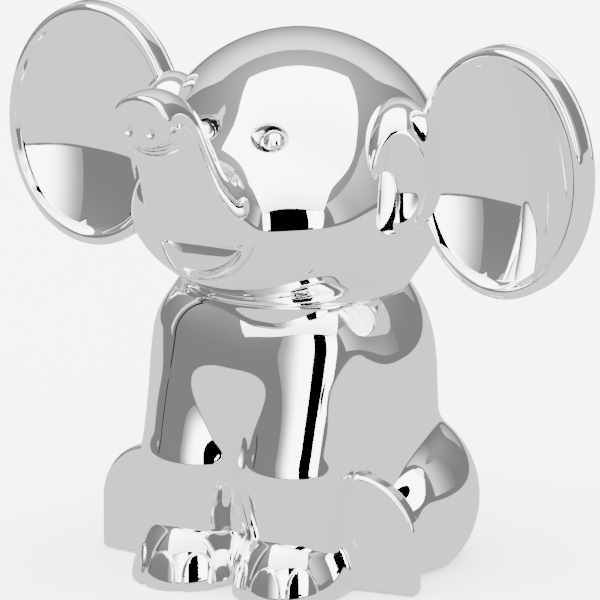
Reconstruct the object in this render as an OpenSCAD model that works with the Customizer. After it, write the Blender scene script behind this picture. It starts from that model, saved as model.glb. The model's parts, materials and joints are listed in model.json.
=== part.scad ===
// Sitting elephant coin bank: plated die-cast shells, screwed together from inside,
// with a bottom plate, a felt pad and a pull-out stopper.
// Millimetres. +Z up, the elephant looks along -Y, its left side is +X.

/* [Casting] */
// Wall of the cast shells
wall = 2.2; // [1.6:0.1:2.8]
// Height of the seam between body and head
neck_z = 65; // [63:0.5:67]
// Thickness of the two flat walls that meet at the seam
shelf = 2.6; // [2:0.1:3.2]
// Distance of the torso's axis behind the middle of the object
figure_y = 14; // [11:0.5:17]

/* [Torso and legs] */
// Half width of the chest
chest_r = 32.8; // [31.5:0.1:34]
// Half height of the chest's ellipsoid
chest_half_h = 30; // [28:0.5:32]
// Height of the chest's widest section
chest_z = 47.5; // [45:0.5:49]
// Radius of a front leg at the knee
knee_r = 13.3; // [12:0.1:14]
// Radius of a front leg at the ankle
ankle_r = 10.2; // [9:0.1:11]

/* [Head] */
// Radius of the round skull
skull_r = 34.2; // [33:0.2:35]
// Height of the skull's centre
skull_z = 88.2; // [87:0.2:90]
// Distance of the skull's centre behind the torso's axis
skull_y = 6; // [4:0.5:8]
// Radius of each eye
eye_r = 3.1; // [2.5:0.1:3.6]

/* [Ears] */
// Half width of an ear
ear_half_w = 21.4; // [19:0.2:23]
// Half height of an ear
ear_half_h = 28.6; // [26:0.2:30]
// Distance of an ear's centre from the middle plane
ear_x = 52; // [51:0.5:54]
// Height of an ear's centre
ear_z = 95.4; // [93:0.2:97]
// Depth of the ear's hollow
ear_hollow = 6; // [4:0.5:6.5]

/* [Coin slot and stopper] */
// Length of the coin slot
slot_length = 36; // [30:1:40]
// Height of the coin slot
slot_height = 5; // [4.6:0.1:6]
// Height of the slot's middle above the table
slot_z = 51; // [48:0.5:54]
// Radius of the outlet hole in the bottom plate
outlet_r = 16; // [14:0.5:16.5]
// Clearance between stopper and outlet hole, on the radius
stopper_clearance = 0.05; // [0.02:0.01:0.08]

/* [Hidden] */

outer_fn = 36;
inner_fn = 24;
turned_fn = 96;
eps = 0.05;
silver = [0.84, 0.84, 0.85];
steel = [0.62, 0.62, 0.64];
big = 200;

// Underside of the castings, just above the table, because the felt stands proud
foot_z = 0.5;
base_y = 3;
sole_turn = 6;
recess_r = 24;
plate_r = recess_r - 0.2;
plate_bottom = 1.2;
plate_top = 2.4;
floor_top = 5.4;
floor_hole_r = outlet_r + 1.5;
base_screw_circle = 20.6;
base_screw_angles = [90, 210, 330];
screw_r = 1.25;
pilot_r = 1.32;

// Screws through the seam between body and head
neck_y = 4.5;
neck_screw_circle = 14;
neck_screw_angles = [30, 150, 270];
neck_boss_r = 3.2;
neck_boss_h = 6;

// Opening in the head's floor, wide enough for a spanner
head_hole_r = 10.5;

// Threaded studs on the ears, held by nuts inside the head
stud_y = skull_y + 1;
stud_z = 93;
stud_r = 1.5;
stud_boss_r = 2.3;
ear_pad_x = 27.5;
ear_pad_r = 6;
nut_r = 3.2;
nut_h = 2.4;
washer_h = 0.8;
washer_r = 4.4;
screw_head_r = 2.6;
screw_head_h = 1.9;

// Ear outline in depth: rim crest, joint between dish and back, deepest point of the back
ear_rim_y = 1;
ear_joint = 5.4;
ear_back = 10.4;
ear_wall = 1.5;
ear_turn = 3;
joint_gap = 0.1;

// Trunk stations on the middle plane: forward distance, height, radius
trunk = [[22, 84, 14], [34, 85, 12.6], [42, 90, 11], [47, 97, 9.8], [51, 104, 8.9],
         [55, 111, 8], [58.5, 115, 7.2], [61.5, 116, 6.6]];
trunk_hollow_to = 4;

// An ellipsoid with half axes r, made smaller all round by inset
module lump(centre, r, inset = 0) {
    translate(centre)
        scale([r.x - inset, r.y - inset, r.z - inset])
            sphere(r = 1, $fn = inset > 0 ? inner_fn : outer_fn);
}

module both_sides() {
    for (side = [-1, 1])
        mirror([side < 0 ? 1 : 0, 0, 0]) children();
}

// A smooth casting kept as one closed mesh
module as_casting() {
    color(silver)
        translate([0, figure_y, 0])
            resize([0, 0, 0]) children();
}

module torso(inset = 0) {
    lump([0, 3.4, chest_z], [chest_r, chest_r - 1, chest_half_h], inset);
    lump([0, 6.5, 30], [34, 28.2, 33.5], inset);
    lump([0, 8, 20], [33, 30, 25], inset);
    // Wide foot of the torso, round the opening for the bottom plate
    lump([0, base_y, 5], [32, 27.5, 10], inset);
}

module limb(from, to, from_r, to_r) {
    hull() {
        translate(from) sphere(r = from_r);
        translate(to) sphere(r = to_r);
    }
}

module front_leg(inset = 0) {
    $fn = inset > 0 ? inner_fn : 32;
    knee = [12.2, -19.2, 27];
    limb([14, -14.2, 55], knee, 10.8 - inset, knee_r - inset);
    limb(knee, [13.2, -20, 12], knee_r - inset, ankle_r - inset);
    lump([12.9, -20.4, -1.5], [13.4, 16, 18.5], inset);
}

module hind_leg(inset = 0) {
    lump([22, 10, 15], [20, 20, 21], inset);
    fn = inset > 0 ? inner_fn : 32;
    // Flat sole that faces forward, and the instep behind it
    hull()
        for (z = [0, 12])
            translate([25.3, -12.5, z]) rotate([90, 0, sole_turn])
                cylinder(r = 15 - inset, h = 3.5 - inset, $fn = fn);
    hull() {
        for (z = [0, 11])
            translate([24.8, -12.5, z]) rotate([90, 0, 0]) cylinder(r = 14 - inset, h = 1, $fn = fn);
        translate([23, 8, 12]) sphere(r = 14 - inset, $fn = fn);
    }
}

module tail() {
    tail_path = [[0, 37, 28], [0, 38.3, 20], [0, 36.6, 13], [0, 34.6, 8]];
    tail_r = [2.6, 2.1, 2, 3];
    for (i = [0:2])
        hull() {
            translate(tail_path[i]) sphere(r = tail_r[i], $fn = 16);
            translate(tail_path[i + 1]) sphere(r = tail_r[i + 1], $fn = 16);
        }
}

module body_form(inset = 0) {
    torso(inset);
    both_sides() {
        front_leg(inset);
        hind_leg(inset);
    }
}

module slab(low, high) {
    translate([-big / 2, -big / 2, low]) cube([big, big, high - low]);
}

module on_circle(radius, angles, y) {
    for (a = angles)
        translate([radius * cos(a), y + radius * sin(a), 0]) children();
}

// Places a turned shape on a stud's axis, its base at the given distance from the middle
module at_stud(from_x) {
    translate([from_x, stud_y, stud_z]) rotate([0, 90, 0]) children();
}

module body_shell() {
    as_casting() difference() {
        intersection() {
            union() {
                body_form();
                tail();
            }
            slab(foot_z, neck_z);
        }
        difference() {
            intersection() {
                body_form(wall);
                slab(floor_top, neck_z - shelf);
            }
            on_circle(base_screw_circle, base_screw_angles, base_y)
                translate([0, 0, floor_top - eps]) cylinder(r = 3.2, h = 4, $fn = 24);
        }
        translate([0, base_y, 0]) {
            cylinder(r = recess_r, h = plate_top, $fn = turned_fn);
            cylinder(r = floor_hole_r, h = floor_top + 1, $fn = 64);
        }
        on_circle(base_screw_circle, base_screw_angles, base_y)
            cylinder(r = pilot_r, h = floor_top + 2.6, $fn = 24);
        on_circle(neck_screw_circle, neck_screw_angles, neck_y)
            translate([0, 0, neck_z - 2 * shelf]) cylinder(r = screw_r + 0.3, h = 3 * shelf, $fn = 16);
        translate([-slot_length / 2, 12, slot_z - slot_height / 2])
            cube([slot_length, 40, slot_height]);
    }
}

module skull(inset = 0) {
    lump([0, skull_y, skull_z], [skull_r, skull_r, skull_r], inset);
    lump([0, -6, 87], [31, 24, 24], inset);
    lump([0, -18, 86], [28.5, 19.8, 18.8], inset);
}

module trunk_stretch(from, to, inset = 0) {
    for (i = [from:to - 1])
        hull()
            for (s = [trunk[i], trunk[i + 1]])
                translate([0, -s[0], s[1]]) sphere(r = s[2] - inset, $fn = inset > 0 ? 20 : 28);
}

module nostril_end() {
    hull() {
        lump([0, -60, 116], [6.8, 5, 6]);
        lump([0, -63.5, 116], [6.6, 2.2, 5.6]);
    }
}

module head_shell() {
    as_casting() difference() {
        union() {
            intersection() {
                union() {
                    skull();
                    lump([0, 3.4, neck_z - 1.5], [26, 25.4, 9.5]);
                }
                slab(neck_z, big);
            }
            trunk_stretch(0, len(trunk) - 1);
            nostril_end();
            both_sides() lump([9, -22.6, 102.6], [eye_r, eye_r, eye_r]);
        }
        difference() {
            intersection() {
                union() {
                    skull(wall);
                    trunk_stretch(0, trunk_hollow_to, wall);
                }
                slab(neck_z + shelf, big);
            }
            on_circle(neck_screw_circle, neck_screw_angles, neck_y)
                translate([0, 0, neck_z]) cylinder(r = neck_boss_r, h = shelf + neck_boss_h, $fn = 24);
            both_sides() at_stud(ear_pad_x) cylinder(r = ear_pad_r, h = 10, $fn = 24);
        }
        on_circle(neck_screw_circle, neck_screw_angles, neck_y)
            translate([0, 0, neck_z - 1]) cylinder(r = pilot_r, h = shelf + neck_boss_h - 1, $fn = 24);
        translate([0, neck_y, neck_z - 1]) cylinder(r = head_hole_r, h = shelf + 2, $fn = 48);
        both_sides() at_stud(ear_pad_x - 5) cylinder(r = stud_boss_r + 0.2, h = 20, $fn = 24);
        // Smile: a shallow crescent under the trunk's root
        translate([0, -45.5, 84.4])
            difference() {
                lump([0, 0, 0], [19, 8, 9.6]);
                translate([-25, -20, -1.2]) cube([50, 40, 20]);
            }
    }
}

// Section of the ear's front dish, radius against depth behind the rim crest
function bowl_depth(share) = ear_hollow * (1 - pow(share, 2.4)) + 0.6;
function dish_section(r) = concat(
    [for (i = [0:8]) [i / 8 * (r - 2.6), bowl_depth(i / 8)]],
    [for (a = [145:-48:0]) [r - 1.6 + 1.6 * cos(a), 1.6 - 1.6 * sin(a)]],
    [[r, ear_joint - 0.6], [r - 0.6, ear_joint], [r - 2.4, ear_joint]],
    [for (i = [6:-1:0]) [i / 8 * (r - 2.6), bowl_depth(i / 8) + ear_wall]]);

// Section of the ear's domed back
function ear_back_inside(a) = ear_joint + joint_gap + (ear_back - ear_joint - joint_gap - ear_wall) * sin(a);
function back_section(r) = concat(
    [[r - 0.8, ear_joint + joint_gap], [r, ear_joint + joint_gap + 0.8]],
    [for (a = [0:18:90]) [(r - 0.2) * cos(a), ear_joint + 1.6 + (ear_back - ear_joint - 1.6) * sin(a)]],
    [for (a = [90:-18:0]) [(r - 2.4) * cos(a), ear_back_inside(a)]]);

// Turns a section into an oval shell that faces forward
module ear_shell(section) {
    translate([ear_x, ear_rim_y, ear_z])
        rotate([0, 0, -ear_turn])
            scale([ear_half_w / ear_half_h, 1, 1])
                rotate([-90, 0, 0])
                    rotate_extrude($fn = 48) polygon(section);
}

// Raised fold where the ear meets the side of the head
module root_fold() {
    difference() {
        lump([29, -1.2, 94.6], [9.4, 12.4, 16.4]);
        difference() {
            translate([35.3, -11.6, 94.2]) rotate([0, 0, 45]) lump([0, 0, 0], [6.4, 5.4, 13]);
            head_clearance(1);
        }
    }
}

// The head's surface, moved outwards by gap
module head_clearance(gap = 0.15) {
    lump([0, skull_y, skull_z], [skull_r, skull_r, skull_r], -gap);
    lump([0, -6, 87], [31, 24, 24], -gap);
}

module ear_dish() {
    difference() {
        union() {
            ear_shell(dish_section(ear_half_h));
            difference() {
                root_fold();
                translate([ear_x - 40, ear_rim_y + ear_joint, ear_z - 50]) cube([80, 50, 100]);
            }
        }
        head_clearance();
        at_stud(ear_pad_x) cylinder(r = stud_boss_r + 0.15, h = 8, $fn = 24);
    }
}

module ear_back() {
    difference() {
        ear_shell(back_section(ear_half_h));
        head_clearance();
    }
    at_stud(ear_pad_x + 1.5) cylinder(r = stud_boss_r, h = 5.5, $fn = 24);
    at_stud(ear_pad_x - 5) cylinder(r = stud_r, h = 8, $fn = 24);
}

module left_ear_dish() { as_casting() ear_dish(); }
module left_ear_back() { as_casting() ear_back(); }
module right_ear_dish() { as_casting() mirror([1, 0, 0]) ear_dish(); }
module right_ear_back() { as_casting() mirror([1, 0, 0]) ear_back(); }

// Pan-head screw: head at the origin, shank along +Z
module pan_screw(length) {
    translate([0, 0, -screw_head_h]) difference() {
        cylinder(r = screw_head_r, h = screw_head_h, $fn = turned_fn);
        for (a = [0, 90])
            rotate([0, 0, a]) translate([-1.8, -0.35, -eps]) cube([3.6, 0.7, 1]);
    }
    cylinder(r = screw_r, h = length, $fn = turned_fn);
}

module washer(hole_r) {
    difference() {
        cylinder(r = washer_r, h = washer_h, $fn = turned_fn);
        translate([0, 0, -1]) cylinder(r = hole_r, h = washer_h + 2, $fn = turned_fn);
    }
}

module hex_nut() {
    difference() {
        cylinder(r = nut_r, h = nut_h, $fn = 6);
        translate([0, 0, -1]) cylinder(r = stud_r + 0.05, h = nut_h + 2, $fn = turned_fn);
    }
}

module along_neck_screws() {
    translate([0, figure_y, 0])
        on_circle(neck_screw_circle, neck_screw_angles, neck_y)
            translate([0, 0, neck_z - shelf - washer_h]) children();
}

module ear_nuts() {
    color(steel) translate([0, figure_y, 0])
        both_sides() at_stud(ear_pad_x - washer_h - nut_h) hex_nut();
}

module ear_washers() {
    color(steel) translate([0, figure_y, 0])
        both_sides() at_stud(ear_pad_x - washer_h) washer(stud_r + 0.1);
}

module neck_screws() { color(steel) along_neck_screws() pan_screw(9.5); }
module neck_washers() { color(steel) along_neck_screws() washer(screw_r + 0.1); }

module base_plate() {
    color(steel) translate([0, figure_y + base_y, plate_bottom]) difference() {
        cylinder(r = plate_r, h = plate_top - plate_bottom, $fn = turned_fn);
        translate([0, 0, -1]) cylinder(r = outlet_r, h = 4, $fn = turned_fn);
        on_circle(base_screw_circle, base_screw_angles, 0) {
            translate([0, 0, -eps]) cylinder(r1 = 2.5, r2 = 1.4, h = 1.1, $fn = turned_fn);
            cylinder(r = 1.4, h = 4, $fn = turned_fn);
        }
    }
}

module base_screws() {
    color(steel) translate([0, figure_y, 0])
        on_circle(base_screw_circle, base_screw_angles, base_y)
            difference() {
                union() {
                    translate([0, 0, plate_bottom + 0.02]) cylinder(r1 = 2.4, r2 = 1.3, h = 1.05, $fn = turned_fn);
                    translate([0, 0, plate_bottom + 0.5]) cylinder(r = screw_r, h = 6, $fn = turned_fn);
                }
                translate([-1.6, -0.3, plate_bottom - eps]) cube([3.2, 0.6, 0.6]);
            }
}

module felt_pad() {
    color([0.08, 0.08, 0.09]) translate([0, figure_y + base_y, 0]) difference() {
        cylinder(r = plate_r - 0.2, h = plate_bottom, $fn = turned_fn);
        translate([0, 0, -1]) cylinder(r = outlet_r + 2.6, h = 4, $fn = turned_fn);
    }
}

// Bung with three sealing ribs and a pinch grip across its hollow
module stopper() {
    plug_r = outlet_r - stopper_clearance;
    core_r = plug_r - 0.6;
    hollow_r = core_r - 1.8;
    flange_r = outlet_r + 2.2;
    flange_low = 0.3;
    flange_top = plate_bottom - 0.05;
    plug_top = 9.4;
    color([0.1, 0.1, 0.11]) translate([0, figure_y + base_y, 0]) {
        rotate_extrude($fn = turned_fn)
            polygon(concat(
                [[0, plug_top - 1.6], [hollow_r, plug_top - 1.6], [hollow_r, flange_low],
                 [flange_r - 0.4, flange_low], [flange_r, flange_low + 0.4], [flange_r, flange_top],
                 [plug_r, flange_top], [plug_r, plate_top + 0.4], [core_r, plate_top + 1]],
                [[core_r, 4.4], [plug_r, 4.8], [plug_r, 5.2], [core_r, 5.6]],
                [[core_r, 6.6], [plug_r - 0.1, 7], [plug_r - 0.1, 7.4], [core_r, 7.8]],
                [[core_r - 0.2, plug_top - 0.5], [core_r - 0.9, plug_top], [0, plug_top]]));
        translate([-hollow_r - 0.4, -1, 1.2]) cube([2 * hollow_r + 0.8, 2, plug_top - 2]);
    }
}

body_shell();
head_shell();
left_ear_dish();
left_ear_back();
right_ear_dish();
right_ear_back();
ear_nuts();
ear_washers();
neck_screws();
neck_washers();
base_plate();
base_screws();
felt_pad();
stopper();
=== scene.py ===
"""Sitting elephant money box: mirror-plated castings, their hardware, stopper and a studio.

The castings are modelled as smooth forms. Rounded starts are joined and remeshed, and their points
are then settled on one smooth field, so that the plating mirrors the studio without waves.
Sizes are in millimetres round the torso's axis, X to the elephant's left, Y to its back and Z up.
"""

import json
import logging
import math
from dataclasses import dataclass, field
from enum import Enum
from typing import ClassVar, Protocol

import bpy
import numpy as np
from mathutils import Matrix, Vector

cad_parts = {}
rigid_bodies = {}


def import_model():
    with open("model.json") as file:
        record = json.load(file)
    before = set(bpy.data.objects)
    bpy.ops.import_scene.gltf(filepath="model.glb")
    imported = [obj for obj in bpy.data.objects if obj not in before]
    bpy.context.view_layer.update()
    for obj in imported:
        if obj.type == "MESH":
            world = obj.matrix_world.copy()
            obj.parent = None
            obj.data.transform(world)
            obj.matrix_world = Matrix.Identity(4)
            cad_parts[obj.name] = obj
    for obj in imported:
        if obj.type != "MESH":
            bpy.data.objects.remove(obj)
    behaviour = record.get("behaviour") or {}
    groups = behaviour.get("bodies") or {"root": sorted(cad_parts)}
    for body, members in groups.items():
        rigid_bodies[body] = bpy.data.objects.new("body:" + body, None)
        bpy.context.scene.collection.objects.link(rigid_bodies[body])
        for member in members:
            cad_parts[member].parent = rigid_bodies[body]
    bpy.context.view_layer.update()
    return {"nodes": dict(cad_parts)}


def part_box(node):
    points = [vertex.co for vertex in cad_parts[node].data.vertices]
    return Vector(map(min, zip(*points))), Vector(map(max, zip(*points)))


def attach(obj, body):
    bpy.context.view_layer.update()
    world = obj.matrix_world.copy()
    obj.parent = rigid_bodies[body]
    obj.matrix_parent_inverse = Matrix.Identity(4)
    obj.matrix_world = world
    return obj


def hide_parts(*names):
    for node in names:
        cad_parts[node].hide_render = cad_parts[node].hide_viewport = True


LOG = logging.getLogger("money_box")
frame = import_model()
MM = 0.001
Point = tuple[float, float, float]


def figure_shift() -> float:
    """Returns how far the torso's axis lies behind the frame's origin, in millimetres."""
    low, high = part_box("base_plate")
    return (low.y + high.y) / 2 / MM - 3.0


SHIFT = np.array([0.0, figure_shift(), 0.0])


# --- Smooth forms -------------------------------------------------------------------------------


class Shape(Protocol):
    """A solid or a relief that can be measured at any point."""

    def distance(self, p: np.ndarray) -> np.ndarray:
        """Returns the signed distance of each point, negative inside."""
        ...


@dataclass(frozen=True)
class Lump:
    """An ellipsoid.

    Attributes:
        centre: Its middle.
        radii: Its half axes.
        lean: Angle in degrees by which its top leans to the back.
        turn: Angle in degrees by which it is turned about the vertical.
    """

    centre: Point
    radii: Point
    lean: float = 0.0
    turn: float = 0.0

    def pose(self) -> np.ndarray:
        """Returns the rotation from the lump's own axes to the figure's."""
        lean = Matrix.Rotation(math.radians(-self.lean), 3, "X")
        return np.array(Matrix.Rotation(math.radians(self.turn), 3, "Z") @ lean)

    def distance(self, p: np.ndarray) -> np.ndarray:
        """Returns the signed distance of each point, negative inside.

        Args:
            p: The points, one a row.

        Returns:
            One value a point.
        """
        local = (p - np.array(self.centre)) @ self.pose()
        near = np.linalg.norm(local / np.array(self.radii), axis=1)
        steep = np.linalg.norm(local / np.array(self.radii) ** 2, axis=1)
        return near * (near - 1.0) / np.maximum(steep, 1e-9)

    def mirrored(self) -> "Lump":
        """Returns the lump on the figure's other side."""
        x, y, z = self.centre
        return Lump((-x, y, z), self.radii, self.lean, -self.turn)

    def grown(self, by: float) -> "Lump":
        """Returns the lump with its surface moved outwards."""
        x, y, z = self.radii
        return Lump(self.centre, (x + by, y + by, z + by), self.lean, self.turn)

    def rough(self) -> None:
        """Adds the lump as a rough solid to the scene."""
        turn = Matrix(self.pose().tolist()).to_euler()
        bpy.ops.mesh.primitive_uv_sphere_add(
            segments=32, ring_count=16, radius=1.0, location=self.centre, rotation=turn, scale=self.radii
        )


@dataclass(frozen=True)
class Limb:
    """A tapering limb with round ends.

    Attributes:
        start: The middle of its first end.
        end: The middle of its other end.
        start_r: Radius of the first end.
        end_r: Radius of the other end.
    """

    start: Point
    end: Point
    start_r: float
    end_r: float

    def distance(self, p: np.ndarray) -> np.ndarray:
        """Returns the signed distance of each point, negative inside.

        Args:
            p: The points, one a row.

        Returns:
            One value a point.
        """
        a, b = np.array(self.start), np.array(self.end)
        along = np.clip((p - a) @ (b - a) / np.dot(b - a, b - a), 0.0, 1.0)
        radius = self.start_r + (self.end_r - self.start_r) * along
        return np.linalg.norm(p - a - along[:, None] * (b - a), axis=1) - radius

    def mirrored(self) -> "Limb":
        """Returns the limb on the figure's other side."""
        (ax, ay, az), (bx, by, bz) = self.start, self.end
        return Limb((-ax, ay, az), (-bx, by, bz), self.start_r, self.end_r)

    def grown(self, by: float) -> "Limb":
        """Returns the limb with its surface moved outwards."""
        return Limb(self.start, self.end, self.start_r + by, self.end_r + by)

    def rough(self) -> None:
        """Adds the limb as a rough solid to the scene."""
        a, b = Vector(self.start), Vector(self.end)
        bpy.ops.mesh.primitive_cone_add(
            vertices=24, radius1=self.start_r, radius2=self.end_r, depth=(b - a).length,
            location=(a + b) / 2, rotation=(b - a).to_track_quat("Z", "Y").to_euler(),
        )
        for centre, radius in ((a, self.start_r), (b, self.end_r)):
            bpy.ops.mesh.primitive_uv_sphere_add(segments=24, ring_count=12, radius=radius, location=centre)


@dataclass(frozen=True)
class Sole:
    """The flat sole of a hind foot: an arch that stands on the table and faces forward.

    Attributes:
        centre: Centre of the arch's round top, in the middle of its depth.
        radius: Radius of the arch.
        half_depth: Half its depth.
        turn: Angle in degrees by which it is turned outwards.
        edge: Rounding of its edge.
    """

    centre: Point
    radius: float
    half_depth: float
    turn: float
    edge: float = 1.0

    def distance(self, p: np.ndarray) -> np.ndarray:
        """Returns the signed distance of each point, negative inside.

        Args:
            p: The points, one a row.

        Returns:
            One value a point.
        """
        turn = np.array(Matrix.Rotation(math.radians(self.turn), 3, "Z"))
        local = (p - np.array(self.centre)) @ turn
        outline = np.hypot(local[:, 0], np.maximum(local[:, 2], 0.0)) - self.radius + self.edge
        depth = np.abs(local[:, 1]) - self.half_depth + self.edge
        outside = np.hypot(np.maximum(outline, 0.0), np.maximum(depth, 0.0))
        return outside + np.minimum(np.maximum(outline, depth), 0.0) - self.edge

    def mirrored(self) -> "Sole":
        """Returns the sole on the figure's other side."""
        x, y, z = self.centre
        return Sole((-x, y, z), self.radius, self.half_depth, -self.turn, self.edge)

    def rough(self) -> None:
        """Adds the sole as a rough solid to the scene."""
        x, y, z = self.centre
        turn = (math.pi / 2, 0.0, math.radians(self.turn))
        bpy.ops.mesh.primitive_cylinder_add(
            vertices=48, radius=self.radius, depth=2 * self.half_depth, location=self.centre, rotation=turn
        )
        bpy.ops.mesh.primitive_cube_add(
            size=1.0, location=(x, y, z / 2), rotation=(0.0, 0.0, turn[2]),
            scale=(2 * self.radius, 2 * self.half_depth, z),
        )


@dataclass(frozen=True)
class Block:
    """A box with rounded edges.

    Attributes:
        centre: Its middle.
        half: Half its sizes.
        edge: Rounding of its edges.
    """

    centre: Point
    half: Point
    edge: float = 0.5

    def distance(self, p: np.ndarray) -> np.ndarray:
        """Returns the signed distance of each point, negative inside.

        Args:
            p: The points, one a row.

        Returns:
            One value a point.
        """
        q = np.abs(p - np.array(self.centre)) - np.array(self.half) + self.edge
        inside = np.minimum(q.max(axis=1), 0.0)
        return np.linalg.norm(np.maximum(q, 0.0), axis=1) + inside - self.edge

    def rough(self) -> None:
        """Adds the block as a rough solid to the scene."""
        sizes = tuple(2 * h for h in self.half)
        bpy.ops.mesh.primitive_cube_add(size=1.0, location=self.centre, scale=sizes)


@dataclass(frozen=True)
class HalfSpace:
    """Everything on one side of a plane.

    Attributes:
        point: A point of the plane.
        normal: The direction that points out of the kept side.
    """

    point: Point
    normal: Point

    def distance(self, p: np.ndarray) -> np.ndarray:
        """Returns the signed distance of each point, negative inside."""
        normal = np.array(self.normal) / np.linalg.norm(self.normal)
        return (p - np.array(self.point)) @ normal


@dataclass(frozen=True)
class Trunk:
    """The raised trunk, a tube along a smooth curve in the middle plane.

    Attributes:
        stations: Forward distance, height, radius and width factor at each station.
        samples: Points along the curve.
    """

    stations: tuple[tuple[float, float, float, float], ...]
    samples: int = 150

    def curve(self) -> np.ndarray:
        """Returns forward distance, height, radius and width factor at points along the curve."""
        s = np.array(self.stations)
        s = np.vstack([2 * s[0] - s[1], s, 2 * s[-1] - s[-2]])
        steps = np.linspace(0.0, len(self.stations) - 1.001, self.samples)
        i = steps.astype(int)
        t = (steps - i)[:, None]
        a, b, c, d = s[i], s[i + 1], s[i + 2], s[i + 3]
        square, cube = 2 * a - 5 * b + 4 * c - d, 3 * b - a - 3 * c + d
        return 0.5 * (2 * b + (c - a) * t + square * t**2 + cube * t**3)

    def nearest(self, p: np.ndarray) -> tuple[np.ndarray, np.ndarray]:
        """Finds the curve's nearest place to each point.

        Args:
            p: The points.

        Returns:
            The place along the curve, in samples, and the curve's values there.
        """
        curve = self.curve()
        plane = np.stack([-p[:, 1], p[:, 2]], axis=1)
        gaps = ((plane[:, None, :] - curve[None, :, :2]) ** 2).sum(axis=2)
        i = np.clip(gaps.argmin(axis=1), 1, self.samples - 2)
        rows = np.arange(len(p))
        before, here, after = gaps[rows, i - 1], gaps[rows, i], gaps[rows, i + 1]
        shift = 0.5 * (before - after) / np.maximum(before - 2 * here + after, 1e-9)
        place = np.clip(i + np.clip(shift, -1.0, 1.0), 0, self.samples - 1.001)
        low = place.astype(int)
        part = (place - low)[:, None]
        return place, curve[low] * (1 - part) + curve[low + 1] * part

    def distance(self, p: np.ndarray) -> np.ndarray:
        """Returns the signed distance of each point, negative inside.

        Args:
            p: The points, one a row.

        Returns:
            One value a point.
        """
        result = np.full(len(p), 50.0)
        close = (p[:, 1] < -10.0) & (p[:, 2] > 60.0) & (np.abs(p[:, 0]) < 32.0)
        if close.any():
            q = p[close]
            _, at = self.nearest(q)
            squares = (q[:, 0] / at[:, 3]) ** 2 + (-q[:, 1] - at[:, 0]) ** 2 + (q[:, 2] - at[:, 1]) ** 2
            across = np.sqrt(squares)
            result[close] = across - at[:, 2]
        return result

    def rough(self) -> None:
        """Adds the trunk as a rough solid to the scene."""
        for forward, height, radius, width in self.curve()[::6]:
            bpy.ops.mesh.primitive_uv_sphere_add(
                segments=24, ring_count=12, radius=radius,
                location=(0.0, -forward, height), scale=(width, 1.0, 1.0),
            )


class Act(Enum):
    """What a step of a form does."""

    JOIN = "join"
    CARVE = "carve"
    TRIM = "trim"
    RELIEF = "relief"


@dataclass(frozen=True)
class Step:
    """One step of a form.

    Attributes:
        act: What the step does.
        shape: The shape it does it with.
        blend: Width of the smooth transition.
    """

    act: Act
    shape: Shape
    blend: float = 1.0


@dataclass
class Form:
    """A smooth solid made by joining, carving and trimming shapes in order.

    Attributes:
        steps: What is done to it, in order.
    """

    steps: list[Step] = field(default_factory=list)

    def join(self, blend: float, *shapes: Shape) -> "Form":
        """Joins shapes and returns the form."""
        self.steps += [Step(Act.JOIN, s, blend) for s in shapes]
        return self

    def carve(self, blend: float, *shapes: Shape) -> "Form":
        """Carves shapes away and returns the form."""
        self.steps += [Step(Act.CARVE, s, blend) for s in shapes]
        return self

    def trim(self, blend: float, *shapes: Shape) -> "Form":
        """Keeps only what lies inside the shapes and returns the form."""
        self.steps += [Step(Act.TRIM, s, blend) for s in shapes]
        return self

    def relief(self, *shapes: Shape) -> "Form":
        """Raises or sinks the surface by the shapes' values and returns the form."""
        self.steps += [Step(Act.RELIEF, s) for s in shapes]
        return self

    def rough_parts(self) -> None:
        """Adds the form's joined shapes as rough solids to the scene."""
        for step in self.steps:
            if step.act is Act.JOIN:
                deselect()
                step.shape.rough()

    def rough(self) -> None:
        """Adds the form as a rough solid to the scene, as a part of another form."""
        before = set(bpy.data.objects.keys())
        self.rough_parts()
        trims = [step.shape for step in self.steps if step.act is Act.TRIM]
        if trims:
            solid = join_new(before, "part")
            for plane in trims:
                bisect(solid, plane.point, plane.normal)

    def distance(self, p: np.ndarray) -> np.ndarray:
        """Returns the signed distance of each point, negative inside.

        Args:
            p: The points, one a row.

        Returns:
            One value a point.
        """
        total = np.full(len(p), 60.0)
        for step in self.steps:
            value = step.shape.distance(p)
            if step.act is Act.JOIN:
                total = soft_least(total, value, step.blend)
            elif step.act is Act.RELIEF:
                total = total + value
            else:
                value = -value if step.act is Act.CARVE else value
                total = -soft_least(-total, -value, step.blend)
        return total

    def slope(self, p: np.ndarray, reach: float = 0.02) -> np.ndarray:
        """Returns the field's gradient at each point.

        Args:
            p: The points, one a row.
            reach: Half the distance over which it is measured.

        Returns:
            One gradient a point.
        """
        parts = []
        for axis in range(3):
            move = np.zeros(3)
            move[axis] = reach
            parts.append((self.distance(p + move) - self.distance(p - move)) / (2 * reach))
        return np.stack(parts, axis=1)

    def settled(self, p: np.ndarray, rounds: int = 4) -> np.ndarray:
        """Moves points to the form's surface.

        Args:
            p: The points.
            rounds: How often each point is moved.

        Returns:
            The moved points.
        """
        for _ in range(rounds):
            slope = self.slope(p)
            strength = np.maximum((slope**2).sum(axis=1), 0.05)
            move = -(self.distance(p) / strength)[:, None] * slope
            length = np.linalg.norm(move, axis=1, keepdims=True)
            p = p + move * np.minimum(1.0, 1.5 / np.maximum(length, 1e-9))
        return p


def soft_least(a: np.ndarray, b: np.ndarray, blend: float) -> np.ndarray:
    """Returns the smaller of two distances, rounded smoothly over the blend's width."""
    share = np.maximum(blend - np.abs(a - b), 0.0) / blend
    return np.minimum(a, b) - share**3 * blend / 6.0


def smooth_step(value: np.ndarray) -> np.ndarray:
    """Returns 0 below 0, 1 above 1 and a smooth rise between."""
    t = np.clip(value, 0.0, 1.0)
    return t * t * t * (t * (6 * t - 15) + 10)


# --- Modelling helpers --------------------------------------------------------------------------


def deselect() -> None:
    """Deselects every object."""
    bpy.ops.object.select_all(action="DESELECT")


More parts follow.
